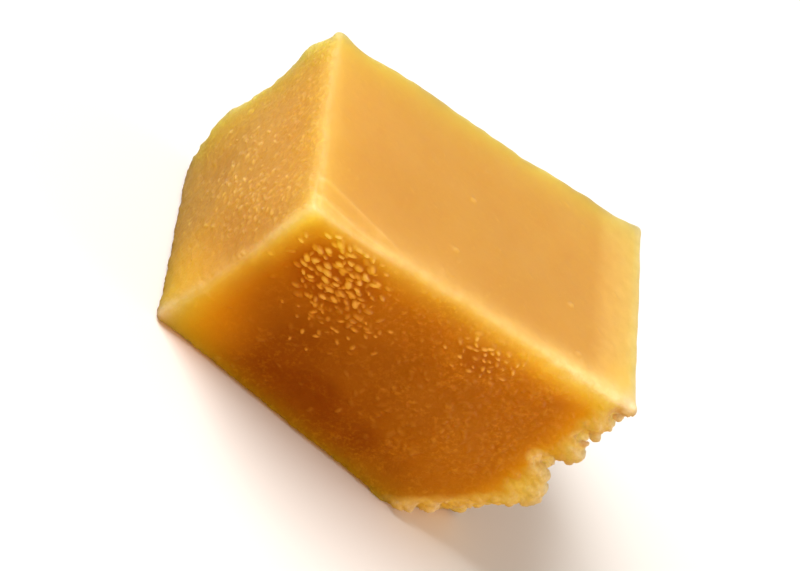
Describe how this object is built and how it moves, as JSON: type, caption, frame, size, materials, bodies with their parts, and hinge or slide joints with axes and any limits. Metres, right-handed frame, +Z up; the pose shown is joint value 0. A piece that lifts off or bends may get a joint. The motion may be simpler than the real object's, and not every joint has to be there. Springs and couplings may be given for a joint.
{
  "type": "fudge cube",
  "caption": "Hand-cut block of plain caramel fudge with a smooth poured top, grainy cut sides and one crumbled corner edge.",
  "frame": {"origin": "middle of the block's length and depth, on the flat base it rests on", "axes": "+X along the length toward the end with the crumbled edge, +Y from the front face with the crumbled edge to the back, +Z up from the base to the smooth poured top"},
  "size_m": [0.0396, 0.0272, 0.0243],
  "materials": {
    "fudge": null
  },
  "bodies": {
    "root": {"fudge": "fudge"}
  },
  "joints": []
}
